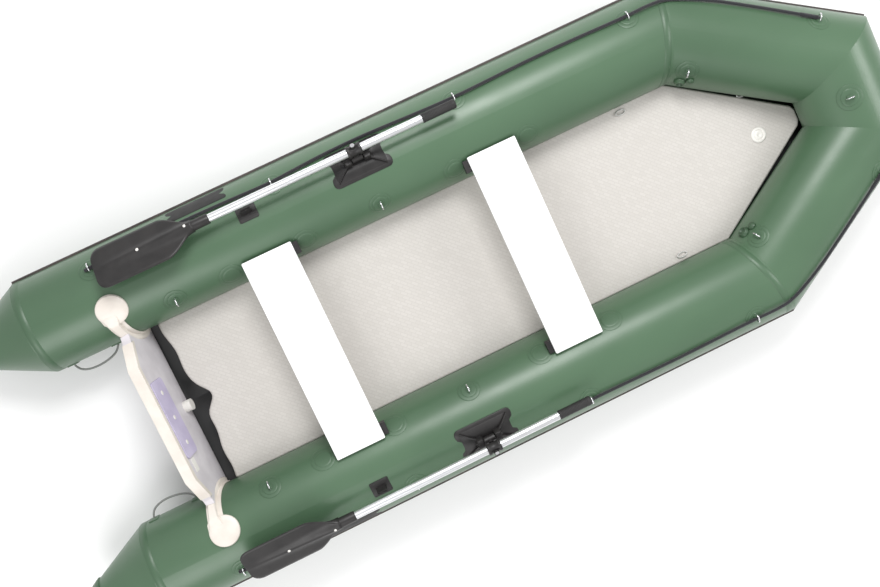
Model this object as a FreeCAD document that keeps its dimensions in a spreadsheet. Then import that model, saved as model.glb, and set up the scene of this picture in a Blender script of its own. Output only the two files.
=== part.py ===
import FreeCAD, Part
import math
import os

from FreeCAD import Placement, Rotation, Vector

# Inflatable boat with a raked transom, an air floor, two benches and two oars on tilting oarlocks.
# Frame: +X towards the bow, +Y to port, +Z up, origin on the ground under the middle of the boat.
# The tubes lie on the ground from the stern to the bow shoulders, and rise from there to the nose.

os.makedirs("parts", exist_ok=True)
doc = FreeCAD.newDocument("inflatable_boat")
sheet = doc.addObject("Spreadsheet::Sheet", "Sizes")

# Driving dimensions, in millimetres and degrees.
SIZES = [
    ("overall_length", 3555),
    ("beam", 1360),
    ("tube_dia", 356),
    ("cone_length", 267),
    ("cone_tip_dia", 104),
    ("cone_cap_length", 22),
    ("bow_length", 547),
    ("bow_rise", 60),
    ("nose_half_width", 145),
    ("keel_clearance", 24),
    ("skin_thickness", 6),
    ("skin_edge_angle", 60),
    ("floor_thickness", 60),
    ("floor_top", 155),
    ("floor_tuck", 14),
    ("floor_aft_gap", 38),
    ("floor_notch_depth", 46),
    ("floor_notch_width", 80),
    ("transom_inset", 613),
    ("transom_top", 375),
    ("transom_bottom", 98),
    ("transom_thickness", 34),
    ("transom_rake", 10),
    ("transom_shoulder_drop", 62),
    ("transom_shoulder_run", 96),
    ("holder_wall", 26),
    ("holder_lip", 15),
    ("holder_disc_dia", 115),
    ("holder_disc_height", 11),
    ("holder_disc_angle", 19),
    ("holder_foot_angle", 112),
    ("inner_plate_width", 303),
    ("inner_plate_height", 118),
    ("outer_plate_width", 256),
    ("outer_plate_height", 110),
    ("motor_plate_thickness", 6),
    ("motor_plate_drop", 24),
    ("drain_dia", 44),
    ("drain_bore_dia", 24),
    ("drain_stub_length", 30),
    ("drain_flange_dia", 62),
    ("drain_flange_thickness", 5),
    ("drain_height", 142),
    ("bench_length", 792),
    ("bench_width", 192),
    ("bench_thickness", 14),
    ("bench_top", 343),
    ("aft_bench_x", -638),
    ("fore_bench_x", 254),
    ("bench_holder_width", 46),
    ("bench_holder_height", 34),
    ("bench_holder_overhang", 20),
    ("bench_holder_y", 366),
    ("strake_height", 46),
    ("strake_proud", 8),
    ("ring_wire_dia", 5),
    ("ring_dia", 36),
    ("rope_dia", 12),
    ("handle_rope_dia", 8),
    ("valve_run", 76.5),
    ("bow_ring_run", 84.5),
    ("tow_ring_run", 455.5),
    ("valve_dia", 46),
    ("valve_height", 14),
    ("floor_valve_inset", 517.5),
    ("floor_valve_y", -8),
    ("floor_valve_dia", 62),
    ("floor_valve_height", 6),
    ("clip_length", 72),
    ("clip_width", 60),
    ("clip_x", -635),
    ("oarlock_x", -202),
    ("oarlock_angle", 16.7),
    ("oarlock_length", 226),
    ("oarlock_width", 130),
    ("oarlock_flange", 6),
    ("swivel_height", 31),
    ("swivel_dia", 28),
    ("swivel_length", 40),
    ("swivel_gap", 2),
    ("ear_length", 28),
    ("ear_width", 36),
    ("swivel_pin_dia", 10),
    ("pin_fit", 0.3),
    ("pin_tilt", 35),
    ("pin_dia", 12),
    ("pin_reach", 45),
    ("nut_dia", 20),
    ("nut_height", 8),
    ("nut_gap", 1),
    ("shaft_dia", 30),
    ("collar_dia", 44),
    ("collar_length", 54),
    ("grip_dia", 35),
    ("grip_length", 130),
    ("oar_inboard", 394),
    ("oar_outboard", 985),
    ("blade_length", 370),
    ("blade_width", 172),
    ("blade_thickness", 8),
    ("blade_shoulder", 105),
    ("blade_corner_radius", 38),
    ("blade_neck_dia", 40),
    ("blade_socket", 60),
]
for row, (alias, value) in enumerate(SIZES, 1):
    sheet.set(f"A{row}", alias)
    sheet.set(f"B{row}", str(value))
    sheet.setAlias(f"B{row}", alias)
doc.recompute()

SIDES = {"port": 1, "starboard": -1}
X_AXIS = Vector(1, 0, 0)
Y_AXIS = Vector(0, 1, 0)
Z_AXIS = Vector(0, 0, 1)
nodes = []


def size(alias):
    """The value of one cell of the sheet."""
    return float(getattr(sheet, alias))


def aim(origin, z_dir, x_hint=X_AXIS):
    """A placement at origin whose local Z runs along z_dir and whose local X is nearest to x_hint."""
    z_dir = Vector(z_dir).normalize()
    x_dir = x_hint - z_dir * x_hint.dot(z_dir)
    x_dir.normalize()
    return Placement(origin, Rotation(x_dir, z_dir.cross(x_dir), z_dir, "ZXY"))


def bind(piece, place, formulas):
    """Places a primitive and binds its sizes to cells of the sheet."""
    piece.Placement = place
    for prop, formula in formulas.items():
        piece.setExpression(prop, formula)
    return piece


def cylinder(name, radius, height, place, angle="360"):
    piece = doc.addObject("Part::Cylinder", name)
    return bind(piece, place, {"Radius": radius, "Height": height, "Angle": angle})


def cone(name, radius_low, radius_high, height, place):
    piece = doc.addObject("Part::Cone", name)
    return bind(piece, place, {"Radius1": radius_low, "Radius2": radius_high, "Height": height})


def box(name, length, width, height, place):
    """A box centred on its placement in X and Y, with its base at the placement."""
    piece = doc.addObject("Part::Box", name)
    bind(piece, place, {"Length": length, "Width": width, "Height": height})
    doc.recompute()
    shift = Vector(-piece.Length.Value / 2, -piece.Width.Value / 2, 0)
    piece.Placement = place.multiply(Placement(shift, Rotation()))
    return piece


def cut(name, base, *tools):
    for number, tool in enumerate(tools, 1):
        piece = doc.addObject("Part::Cut", name if number == len(tools) else f"{name}_cut_{number}")
        piece.Base = base
        piece.Tool = tool
        base = piece
    return piece


def common(name, base, tool):
    piece = doc.addObject("Part::Common", name)
    piece.Base = base
    piece.Tool = tool
    return piece


def fuse(name, *pieces):
    piece = doc.addObject("Part::MultiFuse", name)
    piece.Shapes = list(pieces)
    return piece


def together(name, *pieces):
    """Like pieces that share a node without touching."""
    piece = doc.addObject("Part::Compound", name)
    piece.Links = list(pieces)
    return piece


def plate(name, outline, thickness, place):
    """A flat plate: a closed outline of (x, y) points padded along local Z."""
    body = doc.addObject("PartDesign::Body", name)
    sketch = body.newObject("Sketcher::SketchObject", f"{name}_outline")
    plane = [p for p in body.Origin.OriginFeatures if p.Role == "XY_Plane"][0]
    sketch.AttachmentSupport = [(plane, "")]
    sketch.MapMode = "FlatFace"
    corners = [Vector(x, y, 0) for x, y in outline]
    for first, second in zip(corners, corners[1:] + corners[:1]):
        sketch.addGeometry(Part.LineSegment(first, second), False)
    pad = body.newObject("PartDesign::Pad", f"{name}_pad")
    pad.Profile = sketch
    pad.setExpression("Length", thickness)
    body.Placement = place
    return body


def node(name, piece):
    """Marks a finished sub-part, which is written under its name."""
    piece.Label = name
    nodes.append((name, piece))
    return piece


radius = size("tube_dia") / 2
axis_y = size("beam") / 2 - radius
seam_x = size("cone_length") - size("overall_length") / 2
nose_x = size("overall_length") / 2 - radius - size("strake_proud")
shoulder_x = nose_x - size("bow_length")
nose_z = radius + size("bow_rise")


def seam(side):
    return Vector(seam_x, side * axis_y, radius)


def shoulder(side):
    return Vector(shoulder_x, side * axis_y, radius)


def corner(side):
    return Vector(nose_x, side * size("nose_half_width"), nose_z)


def tube(name, start, end, before, after, dia="Sizes.tube_dia"):
    """A straight tube from start to end, mitred half-way to the directions before and after it."""
    run = (end - start).normalize()
    spare = size("tube_dia")
    place = aim(start - run * spare, run, Z_AXIS)
    piece = doc.addObject("Part::Cylinder", f"{name}_round")
    bind(piece, place, {"Radius": f"({dia}) / 2"})
    piece.Height = (end - start).Length + 2 * spare
    reach = f"4 * ({dia})"
    low = box(f"{name}_low", reach, reach, reach, aim(start, -(run + before), Z_AXIS))
    high = box(f"{name}_high", reach, reach, reach, aim(end, run + after, Z_AXIS))
    return cut(name, piece, low, high)


def side_runs(side):
    """The side and bow tubes of one side, as (kind, start, end, direction before, direction after)."""
    along = (shoulder(side) - seam(side)).normalize()
    bow = (corner(side) - shoulder(side)).normalize()
    across = Vector(0, -side, 0)
    return [
        ("side", seam(side), shoulder(side), along, bow),
        ("bow", shoulder(side), corner(side), along, across),
    ]


def nose_run():
    return corner(1), corner(-1), (corner(1) - shoulder(1)).normalize(), (shoulder(-1) - corner(-1)).normalize()


def surface(side, angle, rise=0.0):
    """Offset from a side tube's axis to its surface, at an angle outboard from the crest."""
    reach = radius + rise
    turn = math.radians(angle)
    return Vector(0, side * reach * math.sin(turn), reach * math.cos(turn))


def on_side_tube(side, x, angle, rise=0.0):
    return Vector(x, side * axis_y, radius) + surface(side, angle, rise)


def on_bow_tube(side, x, angle, rise=0.0):
    """A point of a bow tube's surface and its outward direction, at an angle outboard from its crest."""
    run = (corner(side) - shoulder(side)).normalize()
    foot = shoulder(side) + run * ((x - shoulder_x) / run.x)
    flat = Vector(run.y, -run.x, 0).normalize() * -side
    crest = run.cross(flat) * side
    crest = crest if crest.z > 0 else -crest
    turn = math.radians(angle)
    out = flat * math.sin(turn) + crest * math.cos(turn)
    return foot + out * (radius + rise), out


# Tubes, cones and end caps.
tubes = {}
for label, side in SIDES.items():
    for kind, start, end, before, after in side_runs(side):
        name = f"{label}_{kind}_tube"
        tubes[name] = node(name, tube(name, start, end, before, after))
    tip = "Sizes.cone_tip_dia / 2"
    taper = f"{label}_stern_cone"
    place = aim(seam(side), -X_AXIS, Z_AXIS)
    node(taper, cone(taper, "Sizes.tube_dia / 2", tip, "Sizes.cone_length - Sizes.cone_cap_length", place))
first, last, before, after = nose_run()
tubes["nose_tube"] = node("nose_tube", tube("nose_tube", first, last, before, after))

caps = []
for label, side in SIDES.items():
    cap_base = Vector(size("cone_cap_length") - size("overall_length") / 2, side * axis_y, radius)
    caps.append(cone(f"{label}_cap", tip, "Sizes.cone_tip_dia / 2 - 12", "Sizes.cone_cap_length",
                     aim(cap_base, -X_AXIS, Z_AXIS)))
node("stern_cone_caps", together("stern_cone_caps", *caps))


# Rub strakes: a low band round the outside of every tube.
def strake(name, start, end, before, after, outward):
    wide = tube(f"{name}_band", start, end, before, after, "Sizes.tube_dia + 2 * Sizes.strake_proud")
    slim = tube(f"{name}_core", start, end, before, after)
    run = (end - start).normalize()
    slab = doc.addObject("Part::Box", f"{name}_slab")
    slab.Length = (end - start).Length + 4 * radius
    bind(slab, Placement(), {"Width": "Sizes.tube_dia", "Height": "Sizes.strake_height"})
    up = run.cross(outward).normalize()
    up = up if up.z > 0 else -up
    place = Placement(start - run * 2 * radius, Rotation(run, up.cross(run), up, "ZXY"))
    doc.recompute()
    low = -size("tube_dia") if up.cross(run).dot(outward) < 0 else 0.0
    slab.Placement = place.multiply(Placement(Vector(0, low, -size("strake_height") / 2), Rotation()))
    return common(name, cut(f"{name}_ring", wide, slim), slab)


for label, side in SIDES.items():
    parts = []
    for kind, start, end, before, after in side_runs(side):
        run = (end - start).normalize()
        outward = Vector(-run.y, run.x, 0) * side
        parts.append(strake(f"{label}_{kind}_strake", start, end, before, after, outward.normalize()))
    node(f"{label}_rub_strake", fuse(f"{label}_rub_strake", *parts))
node("nose_rub_strake", strake("nose_rub_strake", first, last, *nose_run()[2:], X_AXIS))

# Hull bottom: a shallow V skin between the tubes, narrowing and rising to the nose.
skin_edge = math.radians(size("skin_edge_angle"))
half_skin = axis_y - radius * math.sin(skin_edge)
edge_z = radius - radius * math.cos(skin_edge)
transom_x = size("transom_inset") - size("overall_length") / 2


def v_section(x, half_width, keel_z, side_z):
    thick = size("skin_thickness")
    points = [Vector(x, -half_width, side_z), Vector(x, 0, keel_z), Vector(x, half_width, side_z),
              Vector(x, half_width, side_z + thick), Vector(x, 0, keel_z + thick),
              Vector(x, -half_width, side_z + thick)]
    return Part.makePolygon(points + points[:1])


sections = [
    v_section(transom_x - 40, half_skin, size("keel_clearance"), edge_z),
    v_section(shoulder_x, half_skin, size("keel_clearance"), edge_z),
    v_section(nose_x - 30, size("nose_half_width") * 0.6, nose_z - radius - 4, nose_z - radius + 14),
]
skin = doc.addObject("Part::Feature", "hull_skin")
skin.Shape = Part.makeLoft(sections, True, True)
node("hull_bottom", cut("hull_bottom", skin, *tubes.values()))

# Air floor: fills the well between the tubes, with a notch at the drain.
inner_y = axis_y - radius + size("floor_tuck")
bow_dir = corner(1) - shoulder(1)
bow_half = math.atan2(-bow_dir.y, bow_dir.x) / 2
floor_shoulder_x = shoulder_x - (radius - size("floor_tuck")) * math.tan(bow_half)
floor_nose_x = nose_x - radius + size("floor_tuck")
slope = bow_dir.y / bow_dir.x
floor_nose_y = inner_y + slope * (floor_nose_x - floor_shoulder_x)
floor_aft_x = transom_x + size("floor_aft_gap")
notch_x = floor_aft_x + size("floor_notch_depth")
notch_y = size("floor_notch_width") / 2
floor_outline = [
    (floor_aft_x, -inner_y), (floor_shoulder_x, -inner_y), (floor_nose_x, -floor_nose_y),
    (floor_nose_x, floor_nose_y), (floor_shoulder_x, inner_y), (floor_aft_x, inner_y),
    (floor_aft_x + 14, notch_y * 2), (notch_x, notch_y), (notch_x, -notch_y), (floor_aft_x + 14, -notch_y * 2),
]
floor_base = Placement(Vector(0, 0, size("floor_top") - size("floor_thickness")), Rotation())
floor_body = plate("air_floor_block", floor_outline, "Sizes.floor_thickness", floor_base)
node("air_floor", cut("air_floor", floor_body, *tubes.values()))

# Transom: a raked board between two holders glued to the side tubes.
rake = math.radians(size("transom_rake"))
board_up = Vector(-math.sin(rake), 0, math.cos(rake))
board_aft = Vector(-math.cos(rake), 0, -math.sin(rake))
board_foot = Vector(transom_x, 0, size("transom_bottom"))
board_place = Placement(board_foot, Rotation(-Y_AXIS, board_up, board_aft, "ZXY"))
board_height = (size("transom_top") - size("transom_bottom")) / math.cos(rake)
half_board = axis_y
drop = size("transom_shoulder_drop")
run_in = size("transom_shoulder_run")
top_half = axis_y - radius - run_in
board_outline = [
    (-half_board, 0), (half_board, 0), (half_board, board_height - drop - 60),
    (top_half + run_in, board_height - drop), (top_half, board_height), (-top_half, board_height),
    (-top_half - run_in, board_height - drop), (-half_board, board_height - drop - 60),
]
board = plate("transom_block", board_outline, "Sizes.transom_thickness", board_place)
holder_room = []
for label, side in SIDES.items():
    start = Vector(transom_x - 400, side * axis_y, radius)
    holder_room.append(cylinder(f"{label}_holder_room", "Sizes.tube_dia / 2 + Sizes.holder_wall", "800",
                                aim(start, X_AXIS, Z_AXIS)))
board_solid = cut("transom_solid", board, *holder_room)
drain_axis = board_foot + board_up * ((size("drain_height") - size("transom_bottom")) / math.cos(rake))
bore = cylinder("drain_hole", "Sizes.drain_dia / 2 + 0.2", "Sizes.transom_thickness + 20",
                aim(drain_axis - board_aft * 10, board_aft, Y_AXIS))
node("transom_board", cut("transom_board", board_solid, bore))

for label, side in SIDES.items():
    lip = size("holder_lip")
    long = size("transom_thickness") + 2 * lip
    mid_x = transom_x - size("transom_thickness") / 2 - math.tan(rake) * (radius - size("transom_bottom"))
    inboard = Vector(0, -side * math.sin(math.radians(size("holder_disc_angle"))),
                     math.cos(math.radians(size("holder_disc_angle"))))
    low = Vector(0, -side * math.sin(math.radians(size("holder_foot_angle"))),
                 math.cos(math.radians(size("holder_foot_angle"))))
    start_dir, axis_dir = (inboard, X_AXIS) if side > 0 else (low, X_AXIS)
    origin = Vector(mid_x - long / 2 - 34, side * axis_y, radius)
    arm = cylinder(f"{label}_arm_wide", "Sizes.tube_dia / 2 + Sizes.holder_wall",
                   "Sizes.transom_thickness + 2 * Sizes.holder_lip + 52", aim(origin, axis_dir, start_dir),
                   "Sizes.holder_foot_angle - Sizes.holder_disc_angle")
    disc_foot = Vector(transom_x - 43, side * axis_y, radius) + inboard * (radius - 12)
    disc = cylinder(f"{label}_disc", "Sizes.holder_disc_dia / 2", "12 + Sizes.holder_disc_height",
                    aim(disc_foot, inboard, X_AXIS))
    slab_top = board_foot + board_up * -60
    slab = box(f"{label}_holder_slab", "4 * Sizes.tube_dia", "4 * Sizes.tube_dia", "Sizes.transom_thickness",
               aim(slab_top, board_aft, Y_AXIS))
    room = box(f"{label}_holder_span", "4 * Sizes.tube_dia", "4 * Sizes.tube_dia",
               "Sizes.transom_thickness + 2 * Sizes.holder_lip",
               aim(slab_top - board_aft * lip, board_aft, Y_AXIS))
    raked = common(f"{label}_arm_raked", arm, room)
    solid = fuse(f"{label}_holder_solid", raked, disc)
    node(f"{label}_transom_holder", cut(f"{label}_transom_holder", solid, tubes[f"{label}_side_tube"]))

plate_gap = size("motor_plate_drop")


def board_plate(name, width, height, face, top, middle=0.0):
    """A plate on one face of the transom: face 1 is forward, -1 is aft."""
    thick = size("motor_plate_thickness")
    base = board_foot + board_up * (board_height - top - size(height)) + Y_AXIS * middle
    depth = board_aft * (-thick if face > 0 else size("transom_thickness"))
    half = size(width) / 2
    cut_in = 14
    outline = [(-half, cut_in), (-half + cut_in, 0), (half - cut_in, 0), (half, cut_in),
               (half, size(height) - cut_in), (half - cut_in, size(height)),
               (-half + cut_in, size(height)), (-half, size(height) - cut_in)]
    place = Placement(base + depth, board_place.Rotation)
    return node(name, plate(name, outline, "Sizes.motor_plate_thickness", place))


board_plate("inner_motor_plate", "inner_plate_width", "inner_plate_height", 1, plate_gap)
board_plate("outer_motor_plate", "outer_plate_width", "outer_plate_height", -1, plate_gap)

drain_flange = cylinder("drain_flange", "Sizes.drain_flange_dia / 2", "Sizes.drain_flange_thickness",
                        aim(drain_axis + board_aft * size("transom_thickness"), board_aft, Y_AXIS))
drain_tube = cylinder("drain_tube", "Sizes.drain_dia / 2", "Sizes.transom_thickness + Sizes.drain_stub_length",
                      aim(drain_axis - board_aft * size("drain_stub_length"), board_aft, Y_AXIS))
drain_bore = cylinder("drain_bore", "Sizes.drain_bore_dia / 2",
                      "Sizes.transom_thickness + Sizes.drain_stub_length",
                      aim(drain_axis - board_aft * (size("drain_stub_length") - 8), board_aft, Y_AXIS))
node("drain_valve", cut("drain_valve", fuse("drain_body", drain_flange, drain_tube), drain_bore))

# Benches, and the holders under their ends.
half_bench = size("bench_width") / 2
holders = []
for name, toward in (("aft_bench", 1), ("fore_bench", -1)):
    x = size(f"{name}_x")
    low = Vector(x, 0, size("bench_top") - size("bench_thickness"))
    node(name, box(name, "Sizes.bench_width", "Sizes.bench_length", "Sizes.bench_thickness",
                   Placement(low, Rotation())))
    for label, side in SIDES.items():
        middle = Vector(x + toward * size("bench_holder_overhang") / 2, side * size("bench_holder_y"),
                        low.z - size("bench_holder_height"))
        block = box(f"{label}_{name}_block", "Sizes.bench_width + Sizes.bench_holder_overhang",
                    "Sizes.bench_holder_width", "Sizes.bench_holder_height", Placement(middle, Rotation()))
        holders.append(cut(f"{label}_{name}_holder", block, tubes[f"{label}_side_tube"]))
node("bench_holders", together("bench_holders", *holders))

# D-rings, each standing across the line that runs through it.
ROPE_RING_ANGLE = 35.5
BOW_RING_ANGLE = 38
ring_places = []
for label, side in SIDES.items():
    for x in (-999, -192):
        ring_places.append((f"{label}_{len(ring_places)}", on_side_tube(side, x, -43), surface(side, -43), X_AXIS))
    for x in (-1215, -514, 206, 908):
        spot = on_side_tube(side, x, ROPE_RING_ANGLE)
        ring_places.append((f"{label}_{len(ring_places)}", spot, surface(side, ROPE_RING_ANGLE), X_AXIS))
    bow_run = corner(side) - shoulder(side)
    for ahead, angle in (("bow_ring_run", -50), ("tow_ring_run", BOW_RING_ANGLE)):
        spot, out = on_bow_tube(side, shoulder_x + size(ahead), angle)
        ring_places.append((f"{label}_{len(ring_places)}", spot, out, bow_run))
nose_ring_back = 62
nose_ring_out = Vector(-nose_ring_back, 0, math.sqrt(radius ** 2 - nose_ring_back ** 2))
ring_places.append(("nose", Vector(nose_x, 0, nose_z) + nose_ring_out, nose_ring_out, Y_AXIS))
rings = []
for name, spot, out, through in ring_places:
    out = Vector(out).normalize()
    lift = size("ring_dia") / 2 - 6
    ring = doc.addObject("Part::Torus", f"ring_{name}")
    bind(ring, aim(spot + out * lift, through, out),
         {"Radius1": "(Sizes.ring_dia - Sizes.ring_wire_dia) / 2", "Radius2": "Sizes.ring_wire_dia / 2"})
    rings.append(cut(f"d_ring_{name}", ring, *tubes.values()))
node("d_rings", together("d_rings", *rings))

# Valves.
valves = []
for label, side in SIDES.items():
    spot, out = on_bow_tube(side, shoulder_x + size("valve_run"), -72)
    body = cylinder(f"{label}_valve_body", "Sizes.valve_dia / 2", "Sizes.valve_height + 6",
                    aim(spot - out * 6, out))
    valves.append(cut(f"{label}_valve", body, *tubes.values()))
node("tube_valves", together("tube_valves", *valves))
floor_valve_x = size("overall_length") / 2 - size("floor_valve_inset")
floor_valve_spot = Vector(floor_valve_x, size("floor_valve_y"), size("floor_top"))
node("floor_valve", cylinder("floor_valve", "Sizes.floor_valve_dia / 2", "Sizes.floor_valve_height",
                             Placement(floor_valve_spot, Rotation())))


# Oarlock bases, swivels, clips and oars.
def mirrored_frame(side, origin, tilt):
    """Local X to the bow, local Z tilted outboard from vertical, local Y outboard or inboard."""
    out = Vector(0, side * math.sin(math.radians(tilt)), math.cos(math.radians(tilt)))
    return aim(origin, out, X_AXIS)


for label, side in SIDES.items():
    lock = Vector(size("oarlock_x"), side * axis_y, radius)
    angle = size("oarlock_angle")
    base = mirrored_frame(side, lock + surface(side, angle, -20), angle)
    flange = box(f"{label}_lock_flange", "Sizes.oarlock_length", "Sizes.oarlock_width",
                 "20 + Sizes.oarlock_flange - 8", base)
    wedge = doc.addObject("Part::Wedge", f"{label}_lock_wedge")
    half_x = size("oarlock_length") / 2 - 12
    half_y = size("oarlock_width") / 2 - 12
    wedge.Xmin, wedge.Xmax, wedge.Zmin, wedge.Zmax = -half_x, half_x, -half_y, half_y
    wedge.X2min, wedge.X2max, wedge.Z2min, wedge.Z2max = -58, 58, -26, 26
    wedge.Ymin, wedge.Ymax = 0, 20 + size("swivel_height") - 21
    turn = Placement(Vector(), Rotation(X_AXIS, 90))
    wedge.Placement = base.multiply(turn)
    ears = []
    ear_x = size("swivel_length") / 2 + size("swivel_gap") + size("ear_length") / 2
    for end in (-1, 1):
        ear_base = base.multiply(Placement(Vector(end * ear_x, 0, 20), Rotation()))
        ears.append(box(f"{label}_ear_{'fore' if end > 0 else 'aft'}", "Sizes.ear_length", "Sizes.ear_width",
                        "Sizes.swivel_height + 12", ear_base))
    pivot = lock + surface(side, angle, size("swivel_height"))
    solid = fuse(f"{label}_lock_solid", flange, wedge, *ears)
    pin_room = cylinder(f"{label}_lock_bore", "Sizes.swivel_pin_dia / 2 + Sizes.pin_fit",
                        "2 * Sizes.oarlock_length",
                        aim(pivot - X_AXIS * size("oarlock_length"), X_AXIS, Z_AXIS))
    node(f"{label}_oarlock_base", cut(f"{label}_oarlock_base", solid, pin_room, tubes[f"{label}_side_tube"]))

    tilt = size("pin_tilt")
    upright = mirrored_frame(side, pivot, tilt)
    knuckle = cylinder(f"{label}_knuckle", "Sizes.swivel_dia / 2", "Sizes.swivel_length",
                       aim(pivot - X_AXIS * size("swivel_length") / 2, X_AXIS, Z_AXIS))
    hinge_length = "Sizes.swivel_length + 2 * (Sizes.swivel_gap + Sizes.ear_length) + 6"
    hinge_half = ear_x + size("ear_length") / 2 + 3
    hinge = cylinder(f"{label}_hinge_pin", "Sizes.swivel_pin_dia / 2", hinge_length,
                     aim(pivot - X_AXIS * hinge_half, X_AXIS, Z_AXIS))
    stem = cylinder(f"{label}_stem", "Sizes.pin_dia / 2",
                    "Sizes.pin_reach + Sizes.collar_dia / 2 + Sizes.nut_gap + Sizes.nut_height", upright)
    nut = cylinder(f"{label}_nut", "Sizes.nut_dia / 2", "Sizes.nut_height",
                   upright.multiply(Placement(Vector(0, 0, size("pin_reach") + size("collar_dia") / 2
                                                     + size("nut_gap")), Rotation())))
    washer = cylinder(f"{label}_washer", "Sizes.nut_dia / 2", "8",
                      upright.multiply(Placement(Vector(0, 0, size("pin_reach") - size("collar_dia") / 2
                                                        - 8 - size("nut_gap")), Rotation())))
    node(f"{label}_oarlock_swivel", fuse(f"{label}_oarlock_swivel", knuckle, hinge, stem, nut, washer))

    clip_base = mirrored_frame(side, Vector(size("clip_x"), side * axis_y, radius)
                               + surface(side, angle, -20), angle)
    clip_patch = box(f"{label}_clip_patch", "Sizes.clip_length", "Sizes.clip_width", "24", clip_base)
    post = box(f"{label}_clip_post", "Sizes.clip_length - 34", "16", "20 + 36",
               clip_base)
    node(f"{label}_oar_clip", cut(f"{label}_oar_clip", fuse(f"{label}_clip_solid", clip_patch, post),
                                  tubes[f"{label}_side_tube"]))

    oar = upright.multiply(Placement(Vector(0, 0, size("pin_reach")), Rotation()))
    oar_run = oar.Rotation.multVec(X_AXIS)
    oar_up = oar.Rotation.multVec(Z_AXIS)
    blade_end = size("oar_outboard")
    socket_x = -(blade_end - size("blade_length"))
    tail_x = socket_x - size("blade_socket")
    pin_hole = cylinder(f"{label}_oar_hole", "Sizes.pin_dia / 2 + Sizes.pin_fit", "4 * Sizes.collar_dia",
                        oar.multiply(Placement(Vector(0, 0, -2 * size("collar_dia")), Rotation())))

    def along(x):
        """A placement on the oar's axis, x forward of the pin, with local Z to the bow."""
        return aim(oar.multVec(Vector(x, 0, 0)), oar_run, oar_up)

    shaft = doc.addObject("Part::Cylinder", f"{label}_shaft_bar")
    bind(shaft, along(tail_x), {"Radius": "Sizes.shaft_dia / 2"})
    shaft.Height = size("oar_inboard") - size("grip_length") - tail_x
    node(f"{label}_oar_shaft", cut(f"{label}_oar_shaft", shaft, pin_hole))
    node(f"{label}_oar_grip", cylinder(f"{label}_oar_grip", "Sizes.grip_dia / 2", "Sizes.grip_length",
                                       along(size("oar_inboard") - size("grip_length"))))
    sleeve = cylinder(f"{label}_collar_sleeve", "Sizes.collar_dia / 2", "Sizes.collar_length",
                      along(-size("collar_length") / 2))
    core = cylinder(f"{label}_collar_core", "Sizes.shaft_dia / 2", "2 * Sizes.collar_length",
                    along(-size("collar_length")))
    node(f"{label}_oar_collar", cut(f"{label}_oar_collar", sleeve, core, pin_hole))

    half = size("blade_width") / 2
    neck = size("blade_neck_dia") / 2
    round_off = size("blade_corner_radius")
    wide_x = socket_x - size("blade_shoulder")
    outline = [(socket_x, -neck), (wide_x, -half), (-blade_end + round_off, -half),
               (-blade_end + round_off * 0.3, -half + round_off * 0.3), (-blade_end, -half + round_off),
               (-blade_end, half - round_off), (-blade_end + round_off * 0.3, half - round_off * 0.3),
               (-blade_end + round_off, half), (wide_x, half), (socket_x, neck)]
    blade_place = oar.multiply(Placement(Vector(0, 0, -size("blade_thickness") / 2), Rotation()))
    sheet_part = plate(f"{label}_blade_sheet", outline, "Sizes.blade_thickness", blade_place)
    rib = cone(f"{label}_blade_rib", "Sizes.blade_neck_dia / 2", "6", "Sizes.blade_length - 40",
               aim(oar.multVec(Vector(socket_x + 20, 0, 0)), -oar_run, oar_up))
    blade_solid = fuse(f"{label}_blade_solid", sheet_part, rib)
    socket = doc.addObject("Part::Cylinder", f"{label}_blade_socket")
    bind(socket, along(tail_x), {"Radius": "Sizes.shaft_dia / 2"})
    socket.Height = size("blade_socket") + 40
    node(f"{label}_oar_blade", cut(f"{label}_oar_blade", blade_solid, socket))


# Ropes: straight runs joined by tangent arcs.
def rope(name, points, dia):
    """A round rope whose route turns by one arc at each inner point."""
    edges = []
    here = points[0]
    shortest = None
    for before, point, after in zip(points, points[1:], points[2:]):
        run_in, run_out = point - before, after - point
        turn = run_in.getAngle(run_out)
        reach = 0.45 * min(run_in.Length, run_out.Length)
        bend = reach / math.tan(turn / 2)
        shortest = bend if shortest is None else min(shortest, bend)
        enter = point - Vector(run_in).normalize() * reach
        leave = point + Vector(run_out).normalize() * reach
        toward = (Vector(run_out).normalize() - Vector(run_in).normalize()).normalize()
        centre = point + toward * (bend / math.cos(turn / 2))
        middle = centre - toward * bend
        edges.append(Part.LineSegment(here, enter).toShape())
        edges.append(Part.Arc(enter, middle, leave).toShape())
        here = leave
    edges.append(Part.LineSegment(here, points[-1]).toShape())
    path = Part.Wire(edges)
    start = (points[1] - points[0]).normalize()
    profile = Part.Wire([Part.makeCircle(dia / 2, points[0], start)])
    piece = doc.addObject("Part::Feature", name)
    piece.Shape = path.makePipeShell([profile], True, False)
    expected = math.pi * dia ** 2 / 4 * path.Length
    print(f"{name}: length {path.Length:.0f} mm, tightest bend {shortest:.0f} mm,"
          f" volume ratio {piece.Shape.Volume / expected:.4f}")
    return node(name, piece)


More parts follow.
